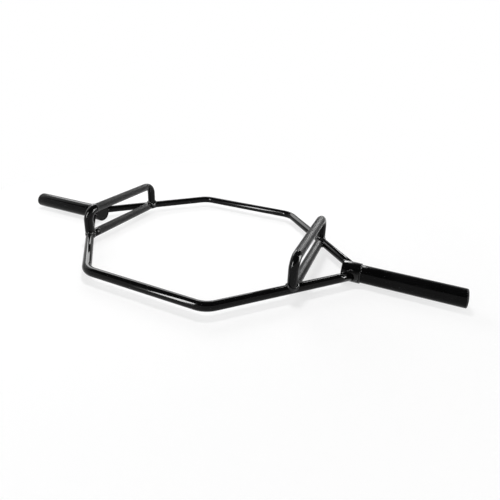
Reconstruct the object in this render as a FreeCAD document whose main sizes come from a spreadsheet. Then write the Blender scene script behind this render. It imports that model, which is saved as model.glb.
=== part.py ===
import FreeCAD, Part
import math
import os
import Sketcher

# Hex trap bar, in millimetres. X runs along the plate sleeves, Y from front to rear, Z up.
# The origin lies on the floor under the middle of the hexagon: the bar rests on its two collars.

doc = FreeCAD.newDocument("hex_trap_bar")

# Driving dimensions: name, value, meaning
DIMENSIONS = (
    ("bar_diameter", 25, "round bar of the hexagon"),
    ("hex_width", 646, "front bar axis to rear bar axis"),
    ("hex_run_length", 365, "straight front or rear run, corner to corner"),
    ("hex_apex_span", 980, "left to right points where the slanted bars would meet"),
    ("hex_bend_radius", 60, "bend of the hexagon's bars, at the axis"),
    ("grip_diameter", 27, "round bar of all four handles"),
    ("handle_spacing", 680, "left handles to right handles, axis to axis"),
    ("raised_height", 82, "raised grip's axis above the hexagon's plane"),
    ("handle_bend_radius", 32, "bend of the raised handles, at the axis"),
    ("handle_seat", 5, "distance from a bar's axis at which a handle's notched end stops"),
    ("sleeve_diameter", 50, "plate sleeve, outside"),
    ("sleeve_wall", 5, "plate sleeve, wall of the tube"),
    ("sleeve_seat_step", 0.5, "sleeve turned down to sit in the collar, on the radius"),
    ("sleeve_load_length", 262, "from the collar to the outer end of the cap"),
    ("collar_diameter", 56, "collar ring, outside"),
    ("collar_length", 50, "collar ring, along the sleeve"),
    ("collar_chamfer", 1, "broken inner edge of the collar"),
    ("disc_thickness", 5, "plate that closes the collar's inner end"),
    ("disc_recess", 1, "disc set back from the collar's end"),
    ("cap_flange_thickness", 4, "visible rim of the end cap"),
    ("cap_chamfer", 1.5, "broken edge of the end cap"),
    ("cap_spigot_length", 20, "part of the cap inside the tube"),
    ("cap_spigot_wall", 3, "wall of the cap's spigot"),
    ("cap_clearance", 0.1, "spigot to tube, on the radius"),
    ("weld_size", 4, "leg of the weld beads"),
)

sheet = doc.addObject("Spreadsheet::Sheet", "Dimensions")
for row, (alias, value, meaning) in enumerate(DIMENSIONS, start=1):
    sheet.set(f"A{row}", alias)
    sheet.set(f"B{row}", str(value))
    sheet.setAlias(f"B{row}", alias)
    sheet.set(f"C{row}", meaning)
doc.recompute()

# Radii
BAR_RADIUS = "(Dimensions.bar_diameter / 2)"
GRIP_RADIUS = "(Dimensions.grip_diameter / 2)"
SLEEVE_RADIUS = "(Dimensions.sleeve_diameter / 2)"
SLEEVE_BORE = f"({SLEEVE_RADIUS} - Dimensions.sleeve_wall)"
SEAT_RADIUS = f"({SLEEVE_RADIUS} - Dimensions.sleeve_seat_step)"
COLLAR_RADIUS = "(Dimensions.collar_diameter / 2)"
SPIGOT_RADIUS = f"({SLEEVE_BORE} - Dimensions.cap_clearance)"
BAR_WELD_RADIUS = f"({BAR_RADIUS} + Dimensions.weld_size)"
GRIP_WELD_RADIUS = f"({GRIP_RADIUS} + Dimensions.weld_size)"
COLLAR_WELD_RADIUS = f"({COLLAR_RADIUS} + Dimensions.weld_size)"

# The slanted bars: from a corner of the hexagon to the point where front and rear would meet
CORNER_X = "(Dimensions.hex_run_length / 2)"
CORNER_Y = "(Dimensions.hex_width / 2)"
APEX_X = "(Dimensions.hex_apex_span / 2)"
SLANT_SLOPE = f"({CORNER_Y} / ({APEX_X} - {CORNER_X}))"
SLANT_SINE = f"({SLANT_SLOPE} / sqrt(1 + {SLANT_SLOPE}^2))"

# The handles stand where their plane crosses the slanted bars
HANDLE_X = "(Dimensions.handle_spacing / 2)"
HANDLE_Y = f"(({APEX_X} - {HANDLE_X}) * {SLANT_SLOPE})"
WELD_SEAT = "(Dimensions.handle_seat - Dimensions.weld_size)"

# Each collar is centred where the bars' axes come through its surface
COLLAR_MIDDLE = f"({APEX_X} - {COLLAR_RADIUS} / {SLANT_SLOPE})"
COLLAR_INNER = f"({COLLAR_MIDDLE} - Dimensions.collar_length / 2)"
COLLAR_OUTER = f"({COLLAR_MIDDLE} + Dimensions.collar_length / 2)"
SHOULDER = f"({COLLAR_OUTER} + {COLLAR_RADIUS} - {SLEEVE_RADIUS})"
DISC_INNER = f"({COLLAR_INNER} + Dimensions.disc_recess)"
SLEEVE_INNER = f"({DISC_INNER} + Dimensions.disc_thickness)"
CAP_OUTER = f"({COLLAR_OUTER} + Dimensions.sleeve_load_length)"
SLEEVE_OUTER = f"({CAP_OUTER} - Dimensions.cap_flange_thickness)"

SIDES = (("left", -1), ("right", 1))
ENDS = (("front", -1), ("rear", 1))
ALONG_X = FreeCAD.Rotation(FreeCAD.Vector(0, 1, 0), 90)
ALONG_Y = FreeCAD.Rotation(FreeCAD.Vector(1, 0, 0), -90)
UPRIGHT = FreeCAD.Rotation()
HALF_TURN = FreeCAD.Rotation(FreeCAD.Vector(0, 0, 1), 180)
ZERO = "0"
sub_parts = []


def bind(obj, **expressions):
    """Bind properties to expressions; a double underscore stands for a dot."""
    for name, expression in expressions.items():
        obj.setExpression(name.replace("__", "."), expression)


def keep(obj, label):
    """Name an object and make it one of the sub-parts that are written out."""
    obj.Label = label
    sub_parts.append(obj)
    return obj


def cut(name, base, *tools):
    """A base object less one or more tools."""
    result = doc.addObject("Part::Cut", name)
    result.Base = base
    result.Tool = tools[0] if len(tools) == 1 else union(f"{name}_tools", *tools)
    return result


def common(name, base, tool):
    """What two objects share."""
    result = doc.addObject("Part::Common", name)
    result.Base = base
    result.Tool = tool
    return result


def union(name, *shapes):
    """Several objects as one."""
    result = doc.addObject("Part::MultiFuse", name)
    result.Shapes = list(shapes)
    return result


def rod(name, rotation, radius, height, **place):
    """A round rod that starts at a bound place and runs along a turned axis."""
    cylinder = doc.addObject("Part::Cylinder", name)
    cylinder.Placement = FreeCAD.Placement(FreeCAD.Vector(), rotation)
    bind(cylinder, Radius=radius, Height=height)
    for axis, expression in place.items():
        bind(cylinder, **{f"Placement__Base__{axis}": expression})
    return cylinder


def new_body(name):
    """A body whose own XY plane is the plane of the hexagon."""
    body = doc.addObject("PartDesign::Body", name)
    bind(body, Placement__Base__z=COLLAR_RADIUS)
    return body


def origin_plane(body, role):
    """One of a body's own origin planes."""
    return next(plane for plane in body.Origin.OriginFeatures if plane.Role == role)


def new_sketch(body, name, role):
    """An empty sketch on one of a body's own origin planes."""
    sketch = body.newObject("Sketcher::SketchObject", name)
    sketch.AttachmentSupport = (origin_plane(body, role), [""])
    sketch.MapMode = "FlatFace"
    return sketch


def constrain(sketch, kind, *where, to=None):
    """Add one constraint, with its value bound to an expression where it has one."""
    if to is None:
        sketch.addConstraint(Sketcher.Constraint(kind, *where))
        return
    start_value = float(sheet.evalExpression(to))
    index = sketch.addConstraint(Sketcher.Constraint(kind, *where, start_value))
    sketch.setExpression(f"Constraints[{index}]", to)


def at_point(sketch, geometry, point, x, y):
    """Hold a point at bound distances from the sketch's origin, or on the axis where one is zero."""
    level_axis, upright_axis = -1, -2
    if x == ZERO:
        constrain(sketch, "PointOnObject", geometry, point, upright_axis)
    else:
        constrain(sketch, "DistanceX", -1, 1, geometry, point, to=x)
    if y == ZERO:
        constrain(sketch, "PointOnObject", geometry, point, level_axis)
    else:
        constrain(sketch, "DistanceY", -1, 1, geometry, point, to=y)


def vector(x, y):
    """A point of a sketch at the present value of two expressions."""
    return FreeCAD.Vector(float(sheet.evalExpression(x)), float(sheet.evalExpression(y)), 0)


def polygon_sketch(body, name, role, corners):
    """A closed outline of straight lines through bound corners."""
    sketch = new_sketch(body, name, role)
    points = [vector(x, y) for x, y in corners]
    for index, point in enumerate(points):
        following = points[(index + 1) % len(points)]
        sketch.addGeometry(Part.LineSegment(point, following))
    for index, (x, y) in enumerate(corners):
        at_point(sketch, index, 1, x, y)
        constrain(sketch, "Coincident", index, 2, (index + 1) % len(corners), 1)
    return sketch


def circle_sketch(body, name, role, x, y, radius):
    """A circle with a bound centre and radius."""
    sketch = new_sketch(body, name, role)
    start_radius = float(sheet.evalExpression(radius))
    sketch.addGeometry(Part.Circle(vector(x, y), FreeCAD.Vector(0, 0, 1), start_radius))
    at_point(sketch, 0, 3, x, y)
    constrain(sketch, "Radius", 0, to=radius)
    return sketch


def bent_half_path(body, name, role, corner, end, bend_radius):
    """Half of a bent bar's axis: a level run from the middle, a tangent bend and a leg to its end."""
    sketch = new_sketch(body, name, role)
    middle = (ZERO, corner[1])
    radius = float(sheet.evalExpression(bend_radius))
    start_point, corner_point, end_point = vector(*middle), vector(*corner), vector(*end)
    along_run = (corner_point - start_point).normalize()
    along_leg = (end_point - corner_point).normalize()
    half_turn = along_run.getAngle(along_leg) / 2
    reach = radius * math.tan(half_turn)
    run_end = corner_point - along_run * reach
    leg_start = corner_point + along_leg * reach
    inward = (along_leg - along_run).normalize()
    bend_middle = corner_point + inward * (radius / math.cos(half_turn) - radius)
    run = sketch.addGeometry(Part.LineSegment(start_point, run_end))
    bend = sketch.addGeometry(Part.Arc(leg_start, bend_middle, run_end))
    leg = sketch.addGeometry(Part.LineSegment(leg_start, end_point))
    mark = sketch.addGeometry(Part.Point(corner_point), True)
    at_point(sketch, run, 1, *middle)
    constrain(sketch, "Horizontal", run)
    constrain(sketch, "Tangent", run, 2, bend, 2)
    constrain(sketch, "Tangent", bend, 1, leg, 1)
    constrain(sketch, "Radius", bend, to=bend_radius)
    at_point(sketch, mark, 1, *corner)
    constrain(sketch, "PointOnObject", mark, 1, leg)
    at_point(sketch, leg, 2, *end)
    return sketch


def bent_bar(name, profile_role, path_role, corner, end, bend_radius, radius):
    """A round bar swept along half of its axis and mirrored in the plane of its middle section."""
    body = new_body(name)
    centre = section_centre(profile_role, corner)
    profile = circle_sketch(body, f"{name}_section", profile_role, *centre, radius)
    path = bent_half_path(body, f"{name}_axis", path_role, corner, end, bend_radius)
    doc.recompute()
    half = body.newObject("PartDesign::AdditivePipe", f"{name}_half")
    half.Profile = profile
    half.Spine = (path, ["Edge1", "Edge2", "Edge3"])
    whole = body.newObject("PartDesign::Mirrored", f"{name}_whole")
    whole.Originals = [half]
    whole.MirrorPlane = (origin_plane(body, profile_role), [""])
    body.Tip = whole
    return body


def section_centre(profile_role, corner):
    """Where the middle section lies in its own plane: off to the side, or straight above."""
    return (corner[1], ZERO) if profile_role == "YZ_Plane" else (ZERO, corner[1])


def turned(name, outline, side):
    """A round piece about the sleeve axis, from its outline; the left one is turned to face the other way."""
    body = doc.addObject("PartDesign::Body", name)
    if side < 0:
        body.Placement = FreeCAD.Placement(FreeCAD.Vector(), HALF_TURN)
    bind(body, Placement__Base__z=COLLAR_RADIUS)
    sketch = polygon_sketch(body, f"{name}_outline", "XZ_Plane", outline)
    doc.recompute()
    revolution = body.newObject("PartDesign::Revolution", f"{name}_turning")
    revolution.Profile = sketch
    revolution.ReferenceAxis = (sketch, ["H_Axis"])
    revolution.Angle = 360
    return body


# Sleeve assembly, on each side: collar, disc, tube, ring bead and end cap
for side_name, side in SIDES:
    chamfer = "Dimensions.collar_chamfer"
    collar_outline = (
        (COLLAR_INNER, SEAT_RADIUS),
        (COLLAR_OUTER, SEAT_RADIUS),
        (COLLAR_OUTER, COLLAR_RADIUS),
        (f"({COLLAR_INNER} + {chamfer})", COLLAR_RADIUS),
        (COLLAR_INNER, f"({COLLAR_RADIUS} - {chamfer})"),
    )
    keep(turned(f"{side_name}_collar", collar_outline, side), f"{side_name}_collar")

    disc_outline = (
        (DISC_INNER, ZERO),
        (SLEEVE_INNER, ZERO),
        (SLEEVE_INNER, SEAT_RADIUS),
        (DISC_INNER, SEAT_RADIUS),
    )
    keep(turned(f"{side_name}_collar_disc", disc_outline, side), f"{side_name}_collar_disc")

    # The tube is turned down inside the collar, and the bead fills the groove up to its shoulder
    sleeve_outline = (
        (SLEEVE_INNER, SLEEVE_BORE),
        (SLEEVE_OUTER, SLEEVE_BORE),
        (SLEEVE_OUTER, SLEEVE_RADIUS),
        (SHOULDER, SLEEVE_RADIUS),
        (SHOULDER, SEAT_RADIUS),
        (SLEEVE_INNER, SEAT_RADIUS),
    )
    keep(turned(f"{side_name}_sleeve", sleeve_outline, side), f"{side_name}_sleeve")

    bead_outline = (
        (COLLAR_OUTER, SEAT_RADIUS),
        (SHOULDER, SEAT_RADIUS),
        (SHOULDER, SLEEVE_RADIUS),
        (COLLAR_OUTER, COLLAR_RADIUS),
    )
    keep(turned(f"{side_name}_sleeve_weld", bead_outline, side), f"{side_name}_sleeve_weld")

    cap_chamfer = "Dimensions.cap_chamfer"
    spigot_bore = f"({SPIGOT_RADIUS} - Dimensions.cap_spigot_wall)"
    spigot_end = f"({SLEEVE_OUTER} - Dimensions.cap_spigot_length)"
    cap_outline = (
        (spigot_end, spigot_bore),
        (SLEEVE_OUTER, spigot_bore),
        (SLEEVE_OUTER, ZERO),
        (CAP_OUTER, ZERO),
        (CAP_OUTER, f"({SLEEVE_RADIUS} - {cap_chamfer})"),
        (f"({CAP_OUTER} - {cap_chamfer})", SLEEVE_RADIUS),
        (SLEEVE_OUTER, SLEEVE_RADIUS),
        (SLEEVE_OUTER, SPIGOT_RADIUS),
        (spigot_end, SPIGOT_RADIUS),
    )
    keep(turned(f"{side_name}_end_cap", cap_outline, side), f"{side_name}_end_cap")

# Hexagon: two bent bars, with ends coped to the collars' round outside
cope = rod("collar_cope", ALONG_X, COLLAR_RADIUS, f"(2 * {CAP_OUTER})", x=f"(-{CAP_OUTER})", z=COLLAR_RADIUS)
COPED_DEPTH = f"({COLLAR_RADIUS} / 2)"
COPED_END = (f"({APEX_X} - {COPED_DEPTH} / {SLANT_SLOPE})", COPED_DEPTH)


def coped_hex_bar(name, end, radius):
    """One half of the hexagon, modelled as the rear one; the front one is turned about."""
    body = bent_bar(f"{name}_bend", "YZ_Plane", "XY_Plane", (CORNER_X, CORNER_Y), COPED_END,
                    "Dimensions.hex_bend_radius", radius)
    if end < 0:
        body.Placement = FreeCAD.Placement(FreeCAD.Vector(), HALF_TURN)
    return cut(name, body, cope)


hex_bars = {}
weld_bars = {}
for end_name, end in ENDS:
    hex_bars[end_name] = keep(coped_hex_bar(f"{end_name}_hex_bar", end, BAR_RADIUS), f"{end_name}_hex_bar")
    weld_bars[end_name] = coped_hex_bar(f"{end_name}_weld_reach", end, BAR_WELD_RADIUS)
hexagon = union("hexagon", *hex_bars.values())


# Tall enough to take in the low handles with their beads
DIAMOND_HEIGHT = f"(4 * {GRIP_WELD_RADIUS})"


def inside_hexagon(name, inset):
    """The diamond between the four slanted bars, a set distance in from their axes."""
    body = new_body(name)
    reach_x = f"({APEX_X} - {inset} / {SLANT_SINE})"
    reach_y = f"({reach_x} * {SLANT_SLOPE})"
    corners = ((reach_x, ZERO), (ZERO, reach_y), (f"(-{reach_x})", ZERO), (ZERO, f"(-{reach_y})"))
    sketch = polygon_sketch(body, f"{name}_outline", "XY_Plane", corners)
    doc.recompute()
    pad = body.newObject("PartDesign::Pad", f"{name}_pad")
    pad.Profile = sketch
    pad.SideType = "Symmetric"
    bind(pad, Length=DIAMOND_HEIGHT)
    return body


# Handles: the low one is notched against the bars, the raised one stands over bar and low handle
seat_diamond = inside_hexagon("seat_diamond", "Dimensions.handle_seat")
weld_diamond = inside_hexagon("weld_diamond", WELD_SEAT)
LEG_END = (HANDLE_Y, "Dimensions.handle_seat")
LEG_CORNER = (HANDLE_Y, "Dimensions.raised_height")


def low_rod(name, radius, side_x):
    """A rod from bar axis to bar axis, in the plane of the hexagon."""
    return rod(name, ALONG_Y, radius, f"(2 * {HANDLE_Y})", x=side_x, y=f"(-{HANDLE_Y})", z=COLLAR_RADIUS)


for side_name, side in SIDES:
    side_x = HANDLE_X if side > 0 else f"(-{HANDLE_X})"

    low_stock = low_rod(f"{side_name}_low_rod", GRIP_RADIUS, side_x)
    low_blank = common(f"{side_name}_low_blank", low_stock, seat_diamond)
    low = keep(cut(f"{side_name}_low", low_blank, hexagon), f"{side_name}_low_handle")

    raised_bend = bent_bar(f"{side_name}_raised_bend", "XZ_Plane", "YZ_Plane", LEG_CORNER, LEG_END,
                           "Dimensions.handle_bend_radius", GRIP_RADIUS)
    bind(raised_bend, Placement__Base__x=side_x)
    raised = keep(cut(f"{side_name}_raised", raised_bend, hexagon, low), f"{side_name}_raised_handle")

    # Weld beads fill the space within one bead's leg of both surfaces that they join
    low_reach_rod = low_rod(f"{side_name}_low_reach_rod", GRIP_WELD_RADIUS, side_x)
    low_reach = common(f"{side_name}_low_reach", low_reach_rod, weld_diamond)
    steel = union(f"{side_name}_steel", hexagon, low, raised)
    for end_name, end in ENDS:
        corner_name = f"{end_name}_{side_name}"
        end_y = HANDLE_Y if end > 0 else f"(-{HANDLE_Y})"
        bar_reach = weld_bars[end_name]

        collar_start = COLLAR_INNER if side > 0 else f"(-{COLLAR_OUTER})"
        collar_reach = rod(f"{corner_name}_collar_reach", ALONG_X, COLLAR_WELD_RADIUS,
                           "Dimensions.collar_length", x=collar_start, z=COLLAR_RADIUS)
        collar_bead = common(f"{corner_name}_collar_bead", bar_reach, collar_reach)
        keep(cut(f"{corner_name}_collar_fillet", collar_bead, hexagon), f"{corner_name}_collar_weld")

        foot_rod = rod(f"{corner_name}_foot_rod", UPRIGHT, GRIP_WELD_RADIUS, "Dimensions.raised_height",
                       x=side_x, y=end_y, z=f"({COLLAR_RADIUS} + {WELD_SEAT})")
        foot_reach = union(f"{corner_name}_foot_reach", bar_reach, low_reach)
        foot_bead = common(f"{corner_name}_foot_bead", foot_rod, foot_reach)
        foot_weld = keep(cut(f"{corner_name}_foot_fillet", foot_bead, steel), f"{corner_name}_raised_weld")

        low_bead = common(f"{corner_name}_low_bead", low_reach, bar_reach)
        keep(cut(f"{corner_name}_low_fillet", low_bead, steel, foot_weld), f"{corner_name}_low_weld")

doc.recompute()

# Nothing is written unless every object came out whole
for obj in doc.Objects:
    if "Invalid" in obj.State or "Error" in obj.State:
        raise RuntimeError(f"{obj.Label} failed: {obj.State}")
for obj in sub_parts:
    if obj.Shape.isNull() or not obj.Shape.isValid():
        raise RuntimeError(f"{obj.Label} has no valid shape")

os.makedirs("parts", exist_ok=True)
for obj in sub_parts:
    obj.Shape.exportStep(os.path.join("parts", f"{obj.Label}.step"))
    print(f"{obj.Label}: {len(obj.Shape.Solids)} solid, {obj.Shape.Volume / 1000:.2f} cm3")
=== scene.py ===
import math

import bpy
import numpy as np
from mathutils import Matrix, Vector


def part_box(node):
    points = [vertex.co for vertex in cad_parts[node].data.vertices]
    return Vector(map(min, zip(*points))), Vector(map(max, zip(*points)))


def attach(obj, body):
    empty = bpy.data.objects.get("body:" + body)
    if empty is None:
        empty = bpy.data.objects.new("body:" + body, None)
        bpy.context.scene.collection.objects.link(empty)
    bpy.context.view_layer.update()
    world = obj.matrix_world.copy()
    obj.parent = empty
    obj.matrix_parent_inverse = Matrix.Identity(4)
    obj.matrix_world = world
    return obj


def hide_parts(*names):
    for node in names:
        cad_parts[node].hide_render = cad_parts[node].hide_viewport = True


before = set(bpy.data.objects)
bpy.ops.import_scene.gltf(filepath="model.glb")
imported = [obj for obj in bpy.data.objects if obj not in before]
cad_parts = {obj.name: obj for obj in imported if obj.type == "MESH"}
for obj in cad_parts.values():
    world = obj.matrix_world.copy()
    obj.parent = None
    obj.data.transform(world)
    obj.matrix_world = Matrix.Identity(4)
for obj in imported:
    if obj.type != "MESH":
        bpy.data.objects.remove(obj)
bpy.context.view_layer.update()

# Hexagon: two round steel bars, each cold bent twice and coped at both ends to fit the collars.
# They carry everything else. The whole frame is sprayed gloss black after it is welded.
bar_low, bar_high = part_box("rear_hex_bar")
BAR_RADIUS = (bar_high.z - bar_low.z) / 2
PLANE_Z = (bar_high.z + bar_low.z) / 2
RUN_Y = bar_high.y - BAR_RADIUS
CORNER_X = 0.1825
APEX_X = 0.490
BAR_BEND_RADIUS = 0.060
SLOPE = RUN_Y / (APEX_X - CORNER_X)
SLANT = math.hypot(1, SLOPE)
SLANT_END_Y = 0.055
COLLAR_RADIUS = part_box("right_collar")[1].y
# A bar's end reaches this far into the piece it meets, so that no gap shows.
SINK = 0.0003

ROUND_STEPS = 64
BEND_STEPS = 24
RUN_STEPS = 12
UP = np.array([0.0, 0.0, 1.0])
ENDS = (("front", -1), ("rear", 1))

# Paint colours are linear, and the scales of its noises are in features per metre.
PAINT_DARK = (0.0015, 0.0015, 0.0016)
PAINT_LIGHT = (0.0035, 0.0035, 0.0037)
PAINT_GLOSS = 0.13
PAINT_SMOOTHEST = 0.05
FRAME_ROUGHEST = 0.10
TONE_SCALE = 14
PATCH_SCALE = 45
PATCH_DETAIL = 4
PEEL_SCALE = 420
PEEL_DEPTH = 0.0004
PEEL_STRENGTH = 0.02
NOISE_DETAIL = 2
NOISE_RANGE = (0.3, 0.7)


def rounded_path(corners, bend_radius, run_steps, bend_steps=BEND_STEPS):
    """Points and unit tangents along straight runs joined by tangent arcs.

    Each run stops short of its corner by radius * tan(turn / 2). Along the arc, a point is the run's end
    + radius * (sin a * old heading + (1 - cos a) * inward), for a from 0 to the whole turn.
    """
    corners = np.asarray(corners, float)
    headings = np.diff(corners, axis=0)
    headings /= np.linalg.norm(headings, axis=1)[:, None]
    points, tangents = [], []
    run_start = corners[0]
    for index, heading in enumerate(headings):
        last = index == len(headings) - 1
        turn = 0 if last else math.acos(heading @ headings[index + 1])
        run_end = corners[index + 1] - heading * bend_radius * math.tan(turn / 2)
        share = np.linspace(0, 1, run_steps[index], endpoint=last)[:, None]
        points.append(run_start + share * (run_end - run_start))
        tangents.append(np.broadcast_to(heading, points[-1].shape))
        if last:
            break
        inward = (headings[index + 1] - heading * math.cos(turn)) / math.sin(turn)
        angle = np.linspace(0, turn, bend_steps, endpoint=False)[:, None]
        points.append(run_end + bend_radius * (np.sin(angle) * heading + (1 - np.cos(angle)) * inward))
        tangents.append(np.cos(angle) * heading + np.sin(angle) * inward)
        run_start = corners[index + 1] + headings[index + 1] * bend_radius * math.tan(turn / 2)
    return np.concatenate(points), np.concatenate(tangents)


def round_bar(path, tangents, plane_normal, radius, steps=ROUND_STEPS):
    """Rings round a flat path: axis point + radius * (cos t * sideways + sin t * plane normal)."""
    around = np.arange(steps) * 2 * np.pi / steps
    sideways = np.cross(tangents, plane_normal)[:, None, :]
    spokes = np.cos(around)[:, None] * sideways + np.sin(around)[:, None] * np.asarray(plane_normal)
    return path[:, None, :] + np.asarray(radius)[..., None] * spokes


def grid_faces(rows, columns, rows_meet=False):
    """Four-sided faces between a grid's neighbours. Columns close on themselves, and rows if wanted."""
    row = np.arange(rows if rows_meet else rows - 1)[:, None]
    column = np.arange(columns)[None, :]
    next_row = (row + 1) % rows
    next_column = (column + 1) % columns
    corners = np.broadcast_arrays(row * columns + column, next_row * columns + column,
                                  next_row * columns + next_column, row * columns + next_column)
    return np.stack(corners, -1).reshape(-1, 4)


def end_faces(rows, columns):
    """Triangles that close a grid's first and last ring, each round a middle point put after the grid's."""
    ring = np.arange(columns)
    following = (ring + 1) % columns
    last_ring = (rows - 1) * columns
    first_pole = np.full(columns, rows * columns)
    start = np.stack([first_pole, ring, following], -1)
    finish = np.stack([last_ring + ring, first_pole + 1, last_ring + following], -1)
    return np.concatenate([start, finish])


def add_piece(name, points, smooth_faces, sharp_faces, node, finishes, signs):
    """A mesh that stands for one CAD node, mirrored in X and Y by its signs, with its faces kept outwards."""
    points = points * np.array([signs[0], signs[1], 1])
    order = -1 if signs[0] * signs[1] < 0 else 1
    faces = [face[::order] for face in smooth_faces.tolist() + sharp_faces.tolist()]
    mesh = bpy.data.meshes.new(name)
    mesh.from_pydata(points.tolist(), [], faces)
    smooth = np.arange(len(faces)) < len(smooth_faces)
    mesh.polygons.foreach_set("use_smooth", smooth)
    for finish in finishes:
        mesh.materials.append(finish)
    obj = bpy.data.objects.new(name, mesh)
    bpy.context.scene.collection.objects.link(obj)
    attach(obj, "root")
    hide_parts(node)
    return obj


def with_poles(rings):
    """A bar's ring points in one list, followed by the middles of its first and last ring."""
    return np.vstack([rings.reshape(-1, 3), rings[0].mean(0), rings[-1].mean(0)])


def add_bar(name, rings, node, finish, signs):
    """A closed piece from rings along a bar."""
    rows, columns = rings.shape[:2]
    sides = grid_faces(rows, columns)
    ends = end_faces(rows, columns)
    add_piece(name, with_poles(rings), sides, ends, node, [finish], signs)


def new_finish(name):
    """A new node material with its tree, its shader and its Object coordinates."""
    material = bpy.data.materials.new(name)
    material.use_nodes = True
    tree = material.node_tree
    shader = tree.nodes["Principled BSDF"]
    place = tree.nodes.new("ShaderNodeTexCoord").outputs["Object"]
    return material, tree, shader, place


def noise(tree, place, scale, detail=NOISE_DETAIL):
    """A noise texture's value."""
    texture = tree.nodes.new("ShaderNodeTexNoise")
    texture.inputs["Scale"].default_value = scale
    texture.inputs["Detail"].default_value = detail
    tree.links.new(place, texture.inputs["Vector"])
    return texture.outputs["Fac"]


def stretch(tree, value, old_range, new_range):
    """A value moved evenly from one range on to another, and held inside the new one."""
    stretcher = tree.nodes.new("ShaderNodeMapRange")
    for socket, number in zip(("From Min", "From Max", "To Min", "To Max"), (*old_range, *new_range)):
        stretcher.inputs[socket].default_value = number
    tree.links.new(value, stretcher.inputs["Value"])
    return stretcher.outputs["Result"]


def uneven(tree, place, scale, limits, detail=NOISE_DETAIL):
    """A noise whose usual range is stretched to the limits."""
    return stretch(tree, noise(tree, place, scale, detail), NOISE_RANGE, limits)


def shade(tree, value, dark, light):
    """A colour from dark to light along a 0 to 1 value."""
    ramp = tree.nodes.new("ShaderNodeValToRGB")
    ramp.color_ramp.elements[0].color = (*dark, 1)
    ramp.color_ramp.elements[1].color = (*light, 1)
    tree.links.new(value, ramp.inputs["Fac"])
    return ramp.outputs["Color"]


def dress(tree, shader, colour, roughness, gloss):
    """A shader's colour and roughness from nodes, and its gloss as one number."""
    tree.links.new(colour, shader.inputs["Base Color"])
    tree.links.new(roughness, shader.inputs["Roughness"])
    shader.inputs["Specular IOR Level"].default_value = gloss


def relief(tree, shader, value, depth, strength):
    """Bump of a depth in metres."""
    bump = tree.nodes.new("ShaderNodeBump")
    bump.inputs["Distance"].default_value = depth
    bump.inputs["Strength"].default_value = strength
    tree.links.new(value, bump.inputs["Height"])
    tree.links.new(bump.outputs["Normal"], shader.inputs["Normal"])


def gloss_black(name, roughest, gloss=PAINT_GLOSS):
    """Sprayed paint: near black with slow tone changes, patches of softer gloss and fine orange peel."""
    material, tree, shader, place = new_finish(name)
    colour = shade(tree, uneven(tree, place, TONE_SCALE, (0, 1)), PAINT_DARK, PAINT_LIGHT)
    roughness = uneven(tree, place, PATCH_SCALE, (PAINT_SMOOTHEST, roughest), PATCH_DETAIL)
    dress(tree, shader, colour, roughness, gloss)
    relief(tree, shader, noise(tree, place, PEEL_SCALE), PEEL_DEPTH, PEEL_STRENGTH)
    return material


def coped(ring, sign):
    """A ring slid along the slanted bar until it lies on the collar: y = sqrt(collar radius^2 - height^2)."""
    height = ring[:, 2] - PLANE_Z
    end_y = np.sqrt((COLLAR_RADIUS - SINK) ** 2 - height ** 2)
    end_x = ring[:, 0] + sign * (ring[:, 1] - end_y) / SLOPE
    return np.stack([end_x, end_y, ring[:, 2]], -1)[None]


frame_paint = gloss_black("gloss_black_paint", FRAME_ROUGHEST)
slant_end = APEX_X - SLANT_END_Y / SLOPE
path, tangents = rounded_path(
    [(-slant_end, SLANT_END_Y, PLANE_Z), (-CORNER_X, RUN_Y, PLANE_Z),
     (CORNER_X, RUN_Y, PLANE_Z), (slant_end, SLANT_END_Y, PLANE_Z)],
    BAR_BEND_RADIUS, (RUN_STEPS, RUN_STEPS, RUN_STEPS))
bar_rings = round_bar(path, tangents, UP, BAR_RADIUS)
bar_rings = np.concatenate([coped(bar_rings[0], -1), bar_rings, coped(bar_rings[-1], 1)])
for end_name, end in ENDS:
    add_bar(f"{end_name}_bent_bar", bar_rings, f"{end_name}_hex_bar", frame_paint, (1, end))

# Collars: a short ring cut from thick steel tube at each side, turned to size with its edges broken.
# The slanted bars are welded to it, the sleeve sits in its bore, and loaded plates stop against it.
collar_low, collar_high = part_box("right_collar")
SEAT_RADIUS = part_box("right_collar_disc")[1].y
COLLAR_EDGE = 0.0010
TURNED_STEPS = 2 * ROUND_STEPS
EDGE_STEPS = 6
FLAT_STEPS = 6
SIDES = (("left", -1), ("right", 1))


def turned(profile):
    """A turned surface: each (x, radius) of a profile swept to (x, radius * cos t, axis - radius * sin t)."""
    around = np.arange(TURNED_STEPS) * 2 * np.pi / TURNED_STEPS
    x, radius = profile[:, :1], profile[:, 1:2]
    return np.stack(np.broadcast_arrays(x, radius * np.cos(around), PLANE_Z - radius * np.sin(around)), -1)


def rounded_profile(corners, edge):
    """An outline of (x, radius) corners, each rounded by the same edge radius."""
    flat_corners = [(x, radius, 0) for x, radius in corners]
    runs = [FLAT_STEPS] * (len(corners) - 1)
    return rounded_path(flat_corners, edge, runs, EDGE_STEPS)[0][:, :2]


def add_ring(name, profile, node, finish, side):
    """A turned ring whose outline closes on itself."""
    rings = turned(profile)
    no_faces = np.empty((0, 4), int)
    faces = grid_faces(*rings.shape[:2], rows_meet=True)
    add_piece(name, rings.reshape(-1, 3), faces, no_faces, node, [finish], (side, 1))


collar_profile = rounded_profile(
    [(collar_low.x, SEAT_RADIUS), (collar_low.x, COLLAR_RADIUS),
     (collar_high.x, COLLAR_RADIUS), (collar_high.x, SEAT_RADIUS)], COLLAR_EDGE)
for side_name, side in SIDES:
    node = f"{side_name}_collar"
    add_ring(f"{side_name}_collar_ring", collar_profile, node, frame_paint, side)

# Collar discs: a round steel plate that closes the inner end of each collar.
# It is pressed into the bore and painted over with the frame, a little duller than the bars.
disc_low, disc_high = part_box("right_collar_disc")
DISC_EDGE = 0.0006
DISC_ROUGHEST = 0.30
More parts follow.
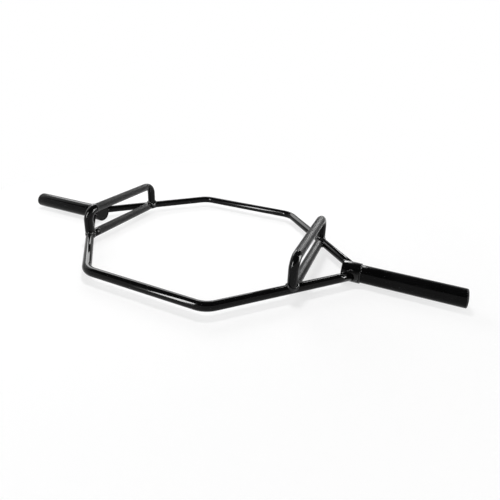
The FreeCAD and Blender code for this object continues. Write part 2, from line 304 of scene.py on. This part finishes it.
# A turned profile stops this short of the axis, and a pole closes it.
AXIS_GAP = 0.0005
disc_paint = gloss_black("disc_paint", DISC_ROUGHEST)
disc_profile = rounded_profile(
    [(disc_low.x, AXIS_GAP), (disc_low.x, SEAT_RADIUS), (disc_high.x, SEAT_RADIUS), (disc_high.x, AXIS_GAP)],
    DISC_EDGE)
for side_name, side in SIDES:
    node = f"{side_name}_collar_disc"
    add_bar(f"{side_name}_closing_plate", turned(disc_profile), node, disc_paint, (side, 1))

# Sleeves: drawn steel tube that takes the plates, turned down a little where it sits in the collar.
# It is painted with the frame, and its gloss is softer.
sleeve_low, sleeve_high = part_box("right_sleeve")
SLEEVE_RADIUS = sleeve_high.y
SLEEVE_BORE = 0.020
SLEEVE_EDGE = 0.0004
SLEEVE_ROUGHEST = 0.22
SLEEVE_GLOSS = 0.08
shoulder_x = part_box("right_sleeve_weld")[1].x
sleeve_profile = rounded_profile(
    [(sleeve_low.x, SLEEVE_BORE), (sleeve_low.x, SEAT_RADIUS), (shoulder_x, SEAT_RADIUS),
     (shoulder_x, SLEEVE_RADIUS), (sleeve_high.x, SLEEVE_RADIUS), (sleeve_high.x, SLEEVE_BORE)], SLEEVE_EDGE)
sleeve_paint = gloss_black("sleeve_paint", SLEEVE_ROUGHEST, SLEEVE_GLOSS)
for side_name, side in SIDES:
    node = f"{side_name}_sleeve"
    add_ring(f"{side_name}_plate_tube", sleeve_profile, node, sleeve_paint, side)

# Sleeve welds: a fillet of weld metal round each tube, against its collar's outer face.
# It is laid in even ripples and painted over, and its paint shines more than the bars'.
RIPPLE_PITCH = 0.0030
RIPPLE_HEIGHT = 0.00040
RIPPLE_LAG = 0.45
BEAD_BULGE = 0.0011
BEAD_STEPS = 12
TOE_SINK = 0.0002
ROOT_SINK = 0.0010
WELD_ROUGHEST = 0.14
WELD_GLOSS = 0.30
WELD_STEPS = 360
weld_paint = gloss_black("weld_paint", WELD_ROUGHEST, WELD_GLOSS)
weld_turn = np.arange(WELD_STEPS)[::-1] * 2 * np.pi / WELD_STEPS


def bead_section(root, toe_one, toe_two, travel):
    """A rippled weld bead along a closed line, as rings across it.

    Across it, w runs from 0 at toe one to 1 at toe two. The face is the straight line between the toes,
    raised by 4 w (1-w) * bulge + sin(pi w) * height * |sin(pi (travel / pitch + lag * (2w - 1)^2))|, which
    draws crescents. It is raised square to the weld line and to the line between the toes.
    """
    along = np.roll(root, -1, axis=0) - np.roll(root, 1, axis=0)
    outward = np.cross(along, toe_two - toe_one)
    outward = (outward / np.linalg.norm(outward, axis=1)[:, None])[:, None, :]
    w = np.linspace(0, 1, BEAD_STEPS)[None, :, None]
    straight = (1 - w) * toe_one[:, None, :] + w * toe_two[:, None, :]
    phase = travel[:, None, None] / RIPPLE_PITCH + RIPPLE_LAG * (2 * w - 1) ** 2
    ripple = np.sin(np.pi * w) * RIPPLE_HEIGHT * np.abs(np.sin(np.pi * phase))
    face = straight + (4 * w * (1 - w) * BEAD_BULGE + ripple - TOE_SINK) * outward
    return np.concatenate([face, root[:, None, :] - ROOT_SINK * outward], axis=1)


def whole_ripples(line):
    """Distance run along a closed line, stretched so that a whole number of ripples fits it."""
    step = np.linalg.norm(np.diff(line, axis=0, append=line[:1]), axis=1)
    length = step.sum()
    share = (np.cumsum(step) - step) / length
    return share * RIPPLE_PITCH * round(length / RIPPLE_PITCH)


def add_bead(name, root, toe_one, toe_two, node, signs):
    """A closed bead: rows follow the weld, columns its section, with the hidden faces left sharp."""
    grid = bead_section(root, toe_one, toe_two, whole_ripples(root))
    rows, columns = grid.shape[:2]
    points = grid.reshape(-1, 3)
    faces = grid_faces(rows, columns, rows_meet=True)
    hidden = np.arange(len(faces)) % columns >= BEAD_STEPS - 1
    add_piece(name, points, faces[~hidden], faces[hidden], node, [weld_paint], signs)


def sleeve_circle(x, radius):
    """Points round the sleeve's axis: (x, radius * cos t, axis + radius * sin t)."""
    y = radius * np.cos(weld_turn)
    z = PLANE_Z + radius * np.sin(weld_turn)
    return np.stack([np.full(WELD_STEPS, x), y, z], -1)


sleeve_root = sleeve_circle(collar_high.x, SLEEVE_RADIUS)
toe_on_sleeve = sleeve_circle(shoulder_x, SLEEVE_RADIUS)
toe_on_face = sleeve_circle(collar_high.x, COLLAR_RADIUS)
for side_name, side in SIDES:
    node = f"{side_name}_sleeve_weld"
    add_bead(f"{side_name}_sleeve_bead", sleeve_root, toe_on_sleeve, toe_on_face, node, (side, 1))

# Collar welds: weld metal where each slanted bar meets its collar.
# The bead runs right round the bar's coped end, in the same ripples, and is painted over.
WELD_LEG = 0.0050
slant_heading = np.array([1, -SLOPE, 0]) / SLANT
slant_side = np.array([SLOPE, 1, 0]) / SLANT
apex = np.array([APEX_X, 0, PLANE_Z])


def slant_ring(radius):
    """Points round the right rear slanted bar's axis where it would meet the sleeve's axis.

    Each is that point + radius * (cos t * sideways + sin t * up).
    """
    return apex + radius * (np.cos(weld_turn)[:, None] * slant_side + np.sin(weld_turn)[:, None] * UP)


def slid_to_collar(ring, radius):
    """Ring points moved along the slanted bar until they are a radius from the sleeve's axis.

    Each stops at y = sqrt(radius^2 - height^2).
    """
    height = ring[:, 2] - PLANE_Z
    end_y = np.sqrt(radius ** 2 - height ** 2)
    return ring + slant_heading * ((ring[:, 1] - end_y) / -slant_heading[1])[:, None]


def add_corner_beads(piece, weld, root, toe_one, toe_two):
    """The right rear corner's bead, mirrored to all four slanted bars."""
    for end_name, end in ENDS:
        for side_name, side in SIDES:
            corner = f"{end_name}_{side_name}"
            add_bead(f"{corner}_{piece}", root, toe_one, toe_two, f"{corner}_{weld}", (side, end))


bar_ring = slant_ring(BAR_RADIUS)
wide_ring = slant_ring(BAR_RADIUS + WELD_LEG)
collar_root = slid_to_collar(bar_ring, COLLAR_RADIUS)
collar_toe_on_bar = slid_to_collar(bar_ring, COLLAR_RADIUS + WELD_LEG)
collar_toe_on_collar = slid_to_collar(wide_ring, COLLAR_RADIUS)
collar_toe_on_collar[:, 0] = np.maximum(collar_toe_on_collar[:, 0], collar_low.x + COLLAR_EDGE)
add_corner_beads("collar_bead", "collar_weld", collar_root, collar_toe_on_collar, collar_toe_on_bar)

# End caps: a moulded black plastic plug that closes the open end of each sleeve.
# Its spigot is pushed into the bore, and its flange is almost as wide as the tube.
cap_low, cap_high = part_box("right_end_cap")
CAP_EDGE = 0.0015
SPIGOT_GAP = 0.0001
SPIGOT_RADIUS = SLEEVE_BORE - SPIGOT_GAP
FLANGE_SETBACK = 0.0003
FLANGE_RADIUS = SLEEVE_RADIUS - FLANGE_SETBACK
CAP_DARK = (0.008, 0.008, 0.008)
CAP_LIGHT = (0.014, 0.014, 0.014)
CAP_TONE_SCALE = 60
CAP_ROUGHNESS = (0.42, 0.58)
CAP_PATCH_SCALE = 300
CAP_GRAIN_SCALE = 2500
CAP_GRAIN_DEPTH = 0.0002
CAP_GRAIN_STRENGTH = 0.25
CAP_GLOSS = 0.35


def cap_moulding():
    """Black moulded plastic: fine grain in the surface and slightly uneven gloss."""
    material, tree, shader, place = new_finish("cap_plastic")
    colour = shade(tree, uneven(tree, place, CAP_TONE_SCALE, (0, 1)), CAP_DARK, CAP_LIGHT)
    dress(tree, shader, colour, uneven(tree, place, CAP_PATCH_SCALE, CAP_ROUGHNESS), CAP_GLOSS)
    relief(tree, shader, noise(tree, place, CAP_GRAIN_SCALE), CAP_GRAIN_DEPTH, CAP_GRAIN_STRENGTH)
    return material


cap_plastic = cap_moulding()
cap_profile = rounded_profile(
    [(cap_low.x, AXIS_GAP), (cap_low.x, SPIGOT_RADIUS), (sleeve_high.x, SPIGOT_RADIUS),
     (sleeve_high.x, FLANGE_RADIUS), (cap_high.x, FLANGE_RADIUS), (cap_high.x, AXIS_GAP)], CAP_EDGE)
for side_name, side in SIDES:
    node = f"{side_name}_end_cap"
    add_bar(f"{side_name}_cap_plug", turned(cap_profile), node, cap_plastic, (side, 1))

# Raised handles: one round steel bar each, bent twice into a bridge that stands on the slanted bars.
# The straight top is rolled with a diamond knurl for grip, and legs and bends are left smooth.
# They are painted with the frame, and the knurl's peaks are rubbed to a greyer satin.
raised_low, raised_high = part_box("right_raised_handle")
GRIP_RADIUS = (raised_high.x - raised_low.x) / 2
HANDLE_X = (raised_high.x + raised_low.x) / 2
HANDLE_Y = (APEX_X - HANDLE_X) * SLOPE
RAISED_Z = raised_high.z - GRIP_RADIUS
HANDLE_BEND_RADIUS = 0.032
HANDLE_SEAT = 0.005
LEG_CLEAR = 0.017
LEG_START_Z = PLANE_Z + LEG_CLEAR
LEG_STEPS = 8
KNURL_STEPS = 120
KNURL_HALF_LENGTH = 0.00105
KNURL_PEAK = 0.00022
KNURL_VALLEY = -0.00034
KNURL_FADE_ROWS = 2
VALLEY_COLOUR = (0.006, 0.006, 0.0062)
PEAK_COLOUR = (0.050, 0.050, 0.051)
RUB_SHARE = (0.75, 1.0)
RUB_SCALE = 120
RUB_DETAIL = 4
KNURL_ROUGHNESS = (0.42, 0.54)
KNURL_PATCH_SCALE = 200
KNURL_PATCH_DETAIL = 3
KNURL_GRAIN_SCALE = 1500
KNURL_GRAIN_DEPTH = 0.0001
KNURL_GRAIN_STRENGTH = 0.2
KNURL_GLOSS = 0.45
HALF_TURN = 0.5


def steel_heights(x, y):
    """Heights over the hexagon's plane of the slanted bar and the low handle at (x, y), 0 past their sides.

    Each is sqrt(radius^2 - distance^2), with the distance taken level from the bar's axis.
    """
    inside = ((APEX_X - x) * SLOPE - np.abs(y)) / SLANT
    over_bar = np.sqrt(np.maximum(BAR_RADIUS ** 2 - inside ** 2, 0))
    over_low = np.where(inside > 0, np.sqrt(np.maximum(GRIP_RADIUS ** 2 - (x - HANDLE_X) ** 2, 0)), 0)
    return over_bar, over_low


def foot_height(x, y):
    """Height where a leg's line at (x, y) meets the steel below it, or the leg's cut end past the bar."""
    return PLANE_Z + np.maximum(np.maximum(*steel_heights(x, y)), HANDLE_SEAT)


def foot_ring(ring):
    """A leg's ring moved straight down on to the steel."""
    z = foot_height(ring[:, 0], ring[:, 1]) - SINK
    return np.stack([ring[:, 0], ring[:, 1], z], -1)[None]


def knurl_height(rows):
    """Diamond knurl on a grid: every other point, as on a chessboard, is a peak, the rest are valleys.

    The heights fade out in the last rows at both ends.
    """
    row, column = np.mgrid[:rows, :KNURL_STEPS]
    height = np.where((row + column) % 2 == 0, KNURL_PEAK, KNURL_VALLEY)
    from_end = np.minimum(row, rows - 1 - row)
    return height * np.minimum(from_end / KNURL_FADE_ROWS, 1)


def knurl_faces(first_row, rows):
    """Two triangles for each square of the knurl, split from valley to valley to leave the peaks sharp."""
    square = grid_faces(rows, KNURL_STEPS) + first_row * KNURL_STEPS
    row, column = np.mgrid[:rows - 1, :KNURL_STEPS]
    peak_first = ((row + column) % 2 == 0).ravel()
    a, b, c, d = square.T
    valley_split = np.stack([a, b, d, b, c, d], -1)[peak_first]
    other_split = np.stack([a, b, c, a, c, d], -1)[~peak_first]
    return np.concatenate([valley_split, other_split]).reshape(-1, 3)


def reckon(tree, operation, first, second):
    """A math node's result from two values."""
    node = tree.nodes.new("ShaderNodeMath")
    node.operation = operation
    tree.links.new(first, node.inputs[0])
    tree.links.new(second, node.inputs[1])
    return node.outputs["Value"]


def knurled_paint():
    """The same paint on the knurl: thick and dark in the valleys, rubbed to a greyer satin on the peaks."""
    material, tree, shader, place = new_finish("knurled_grip_paint")
    height = tree.nodes.new("ShaderNodeAttribute")
    height.attribute_name = "knurl"
    rubbed = reckon(tree, "MULTIPLY", height.outputs["Fac"],
                    uneven(tree, place, RUB_SCALE, RUB_SHARE, RUB_DETAIL))
    roughness = uneven(tree, place, KNURL_PATCH_SCALE, KNURL_ROUGHNESS, KNURL_PATCH_DETAIL)
    dress(tree, shader, shade(tree, rubbed, VALLEY_COLOUR, PEAK_COLOUR), roughness, KNURL_GLOSS)
    relief(tree, shader, noise(tree, place, KNURL_GRAIN_SCALE), KNURL_GRAIN_DEPTH, KNURL_GRAIN_STRENGTH)
    return material


def add_wrap_map(obj, rows, columns):
    """The piece's own map: round the bar across, along it upwards."""
    mesh = obj.data
    vertex = np.empty(len(mesh.loops), np.int32)
    mesh.loops.foreach_get("vertex_index", vertex)
    start, total = (np.empty(len(mesh.polygons), np.int32) for _ in range(2))
    mesh.polygons.foreach_get("loop_start", start)
    mesh.polygons.foreach_get("loop_total", total)
    pole = vertex >= rows * columns
    across = np.where(pole, np.nan, (vertex % columns) / columns)
    along = np.where(pole, (vertex - rows * columns), (vertex // columns + 1) / (rows + 1))
    lowest = np.repeat(np.fmin.reduceat(across, start), total)
    highest = np.repeat(np.fmax.reduceat(across, start), total)
    over_seam = (highest - lowest > HALF_TURN) & (across < HALF_TURN)
    across = np.where(pole, highest, across + over_seam)
    layer = mesh.uv_layers.new(name="OFBake", do_init=False)
    layer.uv.foreach_set("vector", np.stack([across, along], -1).astype(np.float32).ravel())


def add_grip(name, rings, first_row, knurl_rows, node, signs):
    """A handle's rings as one closed piece: smooth ends in frame paint, and a knurled stretch in between."""
    rows, columns = rings.shape[:2]
    points = with_poles(rings)
    faces = grid_faces(rows, columns)
    face_row = np.arange(len(faces)) // columns
    plain = (face_row < first_row) | (face_row >= first_row + knurl_rows - 1)
    sharp = np.concatenate([knurl_faces(first_row, knurl_rows), end_faces(rows, columns)])
    obj = add_piece(name, points, faces[plain], sharp, node, [frame_paint, grip_paint], signs)
    knurl_count = 2 * (knurl_rows - 1) * columns
    finish = np.zeros(len(obj.data.polygons), np.int32)
    finish[plain.sum():plain.sum() + knurl_count] = 1
    obj.data.polygons.foreach_set("material_index", finish)
    height = np.zeros(len(points), np.float32)
    knurled = slice(first_row * columns, (first_row + knurl_rows) * columns)
    height[knurled] = ((knurl_height(knurl_rows) - KNURL_VALLEY) / (KNURL_PEAK - KNURL_VALLEY)).ravel()
    obj.data.attributes.new("knurl", "FLOAT", "POINT").data.foreach_set("value", height)
    add_wrap_map(obj, rows, columns)


grip_paint = knurled_paint()
grip_half = HANDLE_Y - HANDLE_BEND_RADIUS
knurl_rows = 2 * round(grip_half / KNURL_HALF_LENGTH)
path, tangents = rounded_path(
    [(HANDLE_X, -HANDLE_Y, LEG_START_Z), (HANDLE_X, -HANDLE_Y, RAISED_Z),
     (HANDLE_X, HANDLE_Y, RAISED_Z), (HANDLE_X, HANDLE_Y, LEG_START_Z)],
    HANDLE_BEND_RADIUS, (LEG_STEPS, knurl_rows, LEG_STEPS))
knurl_start = LEG_STEPS + BEND_STEPS
radius = np.full((len(path), KNURL_STEPS), GRIP_RADIUS)
radius[knurl_start:knurl_start + knurl_rows] += knurl_height(knurl_rows)
raised_rings = round_bar(path, tangents, (1, 0, 0), radius, KNURL_STEPS)
raised_rings = np.concatenate([foot_ring(raised_rings[0]), raised_rings, foot_ring(raised_rings[-1])])
for side_name, side in SIDES:
    node = f"{side_name}_raised_handle"
    add_grip(f"{side_name}_raised_grip", raised_rings, knurl_start + 1, knurl_rows, node, (side, 1))

# Raised-handle welds: a bead of weld metal round each foot, painted over.
# It joins the leg to the slanted bar, and to the end of the low handle where that stands higher.


def foot_circle(radius):
    """Points round the right rear leg: (x + radius * sin t, y + radius * cos t)."""
    return HANDLE_X + radius * np.sin(weld_turn), HANDLE_Y + radius * np.cos(weld_turn)


def foot_toe(root, reach):
    """The foot's line moved outwards over the slanted bar.

    It is unrolled off the bar to (distance along it, bar radius * angle from its top), moved square to
    itself by the reach, and rolled back on.
    """
    from_apex = root - apex
    angle = np.arctan2(from_apex @ slant_side, from_apex[:, 2])
    flat = np.stack([from_apex @ slant_heading, BAR_RADIUS * angle], -1)
    step = np.roll(flat, -1, axis=0) - np.roll(flat, 1, axis=0)
    step /= np.linalg.norm(step, axis=1)[:, None]
    flat += reach * np.stack([step[:, 1], -step[:, 0]], -1)
    angle = flat[:, 1:] / BAR_RADIUS
    spoke = np.sin(angle) * slant_side + np.cos(angle) * UP
    return apex + flat[:, :1] * slant_heading + BAR_RADIUS * spoke


leg_x, leg_y = foot_circle(GRIP_RADIUS)
foot_root = np.stack([leg_x, leg_y, foot_height(leg_x, leg_y)], -1)
foot_toe_on_leg = foot_root + WELD_LEG * UP
over_bar, over_low = steel_heights(leg_x, leg_y)
wide_x, wide_y = foot_circle(GRIP_RADIUS + WELD_LEG)
foot_toe_on_low = np.stack([wide_x, wide_y, PLANE_Z + steel_heights(wide_x, wide_y)[1]], -1)
foot_toe_below = np.where((over_low > over_bar)[:, None], foot_toe_on_low, foot_toe(foot_root, WELD_LEG))
add_corner_beads("foot_bead", "raised_weld", foot_root, foot_toe_below, foot_toe_on_leg)

# Low handles: a straight length of the same bar in the hexagon's plane, knurled between its welds.
# Both ends are notched to sit against the slanted bars, under the raised handle.
LOW_PLAIN = 0.004


def notch_y(x, height, bar_radius, flat):
    """Where a line along the low handle stops.

    That is at a distance from the slanted bar's axis, sqrt(bar radius^2 - height^2), or at the notch's flat.
    """
    inside = np.sqrt(np.maximum(bar_radius ** 2 - height ** 2, flat ** 2))
    return (APEX_X - x) * SLOPE - inside * SLANT


def notched(ring, end):
    """A low handle's end ring moved along the handle into its notch."""
    y = end * (notch_y(ring[:, 0], ring[:, 2] - PLANE_Z, BAR_RADIUS, HANDLE_SEAT) + SINK)
    return np.stack([ring[:, 0], y, ring[:, 2]], -1)[None]


low_half = HANDLE_Y - (GRIP_RADIUS + BAR_RADIUS) * SLOPE - LOW_PLAIN
low_knurl_rows = 2 * round(low_half / KNURL_HALF_LENGTH)
path = np.stack([np.full(low_knurl_rows, HANDLE_X), np.linspace(-low_half, low_half, low_knurl_rows),
                 np.full(low_knurl_rows, PLANE_Z)], -1)
tangents = np.broadcast_to([0.0, 1.0, 0.0], path.shape)
low_rings = round_bar(path, tangents, (1, 0, 0), GRIP_RADIUS + knurl_height(low_knurl_rows), KNURL_STEPS)
low_rings = np.concatenate([notched(low_rings[0], -1), low_rings, notched(low_rings[-1], 1)])
for side_name, side in SIDES:
    add_grip(f"{side_name}_low_grip", low_rings, 1, low_knurl_rows, f"{side_name}_low_handle", (side, 1))

# Low-handle welds: a bead of weld metal round each notched end, painted over.
# It joins the low handle to the side of the slanted bar.
CROWN_SHARE = 0.97
BAR_CROWN = CROWN_SHARE * BAR_RADIUS


def low_circle(radius):
    """Points round the right low handle: x - radius * cos t, and height radius * sin t over the plane."""
    return HANDLE_X - radius * np.cos(weld_turn), radius * np.sin(weld_turn)


def notch_line(x, height, bar_radius, flat):
    """Points of the low handle's outside where lines along it stop."""
    return np.stack([x, notch_y(x, height, bar_radius, flat), PLANE_Z + height], -1)


low_x, low_height = low_circle(GRIP_RADIUS)
wide_x, wide_height = low_circle(GRIP_RADIUS + WELD_LEG)
low_root = notch_line(low_x, low_height, BAR_RADIUS, HANDLE_SEAT)
low_toe_on_grip = notch_line(low_x, low_height, BAR_RADIUS + WELD_LEG, HANDLE_SEAT + WELD_LEG)
low_toe_on_bar = notch_line(wide_x, np.clip(wide_height, -BAR_CROWN, BAR_CROWN), BAR_RADIUS, 0)
add_corner_beads("notch_bead", "low_weld", low_root, low_toe_on_bar, low_toe_on_grip)

# Studio: a round white paper floor that sweeps up into a wall on all sides, lit by softboxes. Three strips
# and a low softbox show only in gloss, as lines along the bars and light on the right grips. A high lamp
# lights only matt surfaces, and gives the floor its soft short shadows.
STAGE_RADIUS = 5.0
STAGE_FIRST_RADIUS = 0.01
SWEEP_RADIUS = 1.2
WALL_HEIGHT = 3.0
STAGE_STEPS = 96
STAGE_RUN_STEPS = 4
STAGE_WHITE = (0.92, 0.92, 0.92, 1)
GLOW_REACH = (0.6, 1.1)
GLOW_SHARE = (0.74, 1.0)
LAMP_TARGET = (0.0, 0.0, 0.1)
WORLD_WHITE = (1, 1, 1, 1)
WORLD_STRENGTH = 0.10


def white_stage():
    """Matt white paper. Seen straight on or in a reflection it glows near white, and still takes shadows.

    The glow's share grows with the distance from the middle of the floor.
    """
    material = bpy.data.materials.new("stage_white")
    material.use_nodes = True
    tree = material.node_tree
    tree.nodes.clear()
    paper = tree.nodes.new("ShaderNodeBsdfDiffuse")
    paper.inputs["Color"].default_value = STAGE_WHITE
    glow = tree.nodes.new("ShaderNodeEmission")
    light_path = tree.nodes.new("ShaderNodeLightPath")
    seen = light_path.outputs["Is Camera Ray"]
    for ray in ("Is Glossy Ray", "Is Transmission Ray"):
        seen = reckon(tree, "MAXIMUM", seen, light_path.outputs[ray])
    away = tree.nodes.new("ShaderNodeVectorMath")
    away.operation = "LENGTH"
    tree.links.new(tree.nodes.new("ShaderNodeTexCoord").outputs["Object"], away.inputs[0])
    share = reckon(tree, "MULTIPLY", seen, stretch(tree, away.outputs["Value"], GLOW_REACH, GLOW_SHARE))
    mix = tree.nodes.new("ShaderNodeMixShader")
    tree.links.new(share, mix.inputs["Fac"])
    tree.links.new(paper.outputs["BSDF"], mix.inputs[1])
    tree.links.new(glow.outputs["Emission"], mix.inputs[2])
    output = tree.nodes.new("ShaderNodeOutputMaterial")
    tree.links.new(mix.outputs["Shader"], output.inputs["Surface"])
    return material


def add_stage():
    """A floor and wall in one: the outline floor, arc, wall is swept round the upright axis."""
    corners = [(STAGE_FIRST_RADIUS, 0, 0), (STAGE_RADIUS, 0, 0), (STAGE_RADIUS, 0, WALL_HEIGHT)]
    outline = rounded_path(corners, SWEEP_RADIUS, (STAGE_RUN_STEPS, STAGE_RUN_STEPS))[0]
    around = np.arange(STAGE_STEPS) * 2 * np.pi / STAGE_STEPS
    radius, height = outline[:, :1], outline[:, 2:]
    points = np.stack(np.broadcast_arrays(radius * np.cos(around), radius * np.sin(around), height), -1)
    rows, columns = points.shape[:2]
    points = np.vstack([points.reshape(-1, 3), [[0, 0, 0]]])
    faces = grid_faces(rows, columns).tolist() + end_faces(rows, columns)[:columns].tolist()
    mesh = bpy.data.meshes.new("studio_stage")
    mesh.from_pydata(points.tolist(), [], faces)
    mesh.polygons.foreach_set("use_smooth", np.ones(len(faces), bool))
    mesh.materials.append(white_stage())
    stage = bpy.data.objects.new("studio_stage", mesh)
    bpy.context.scene.collection.objects.link(stage)


def facing(place, target):
    """A placement at one point whose -Z axis looks at another, kept upright."""
    place, target = Matrix.Translation(place), Matrix.Translation(target)
    aim = target.translation - place.translation
    return place @ aim.to_track_quat("-Z", "Y").to_matrix().to_4x4()


def add_lamp(name, place, width, height, radiance, matt=True, gloss=True):
    """A rectangular lamp that faces the object, and lights matt surfaces or shows in gloss or both.

    Its power is radiance * pi * area.
    """
    lamp = bpy.data.lights.new(name, "AREA")
    lamp.shape = "RECTANGLE"
    lamp.size, lamp.size_y = width, height
    lamp.energy = radiance * math.pi * width * height
    obj = bpy.data.objects.new(name, lamp)
    obj.matrix_world = facing(place, LAMP_TARGET)
    obj.visible_diffuse = matt
    obj.visible_glossy = gloss
    bpy.context.scene.collection.objects.link(obj)


add_stage()
add_lamp("front_left_strip", place=(-0.75, -1.65, 1.0), width=0.26, height=1.1, radiance=60.0, matt=False)
add_lamp("back_strip", place=(0.16, 2.0, 1.6), width=0.14, height=1.5, radiance=28.0, matt=False)
add_lamp("right_strip", place=(2.0, 0.6, 1.05), width=0.14, height=1.0, radiance=60.0, matt=False)
add_lamp("low_right_softbox", place=(2.3, 1.0, 0.45), width=1.0, height=0.8, radiance=26.0, matt=False)
add_lamp("front_left_softbox", place=(-0.96, -2.05, 1.25), width=0.60, height=2.3, radiance=3.0)
add_lamp("back_left_softbox", place=(-1.75, 1.8, 1.5), width=2.2, height=1.1, radiance=7.0)
add_lamp("left_softbox", place=(-2.4, 0.6, 1.75), width=2.4, height=1.0, radiance=1.2)
add_lamp("high_lamp", place=(-0.35, 0.7, 3.4), width=0.5, height=0.5, radiance=98.0, gloss=False)

world = bpy.data.worlds.new("dim_studio")
bpy.context.scene.world = world
world.use_nodes = True
background = world.node_tree.nodes["Background"]
background.inputs["Color"].default_value = WORLD_WHITE
background.inputs["Strength"].default_value = WORLD_STRENGTH

# Camera: in front and to the right, a little above, at the photograph's angle.
# The lens is shifted, because its axis meets the photograph above the middle of the frame.
IMAGE_SIZE = 500
FOCAL_PIXELS = 367.6
CENTRE_PIXEL_Y = 189.5
SENSOR_WIDTH = 36
VIEW_AZIMUTH = math.radians(22.81)
VIEW_PITCH = math.radians(18.17)
VIEW_ROLL = math.radians(2.22)
VIEW_PLACE = (0.5474, -0.9517, 0.5561)
camera = bpy.data.cameras.new("photo_camera")
camera.sensor_width = SENSOR_WIDTH
camera.lens = SENSOR_WIDTH * FOCAL_PIXELS / IMAGE_SIZE
camera.shift_y = (CENTRE_PIXEL_Y - IMAGE_SIZE / 2) / IMAGE_SIZE
camera_object = bpy.data.objects.new("photo_camera", camera)
camera_object.matrix_world = (
    Matrix.Translation(VIEW_PLACE)
    @ Matrix.Rotation(VIEW_AZIMUTH, 4, "Z")
    @ Matrix.Rotation(math.pi / 2 - VIEW_PITCH, 4, "X")
    @ Matrix.Rotation(VIEW_ROLL, 4, "Z"))
bpy.context.scene.collection.objects.link(camera_object)
bpy.context.scene.camera = camera_object
bpy.context.scene.view_settings.view_transform = "Standard"
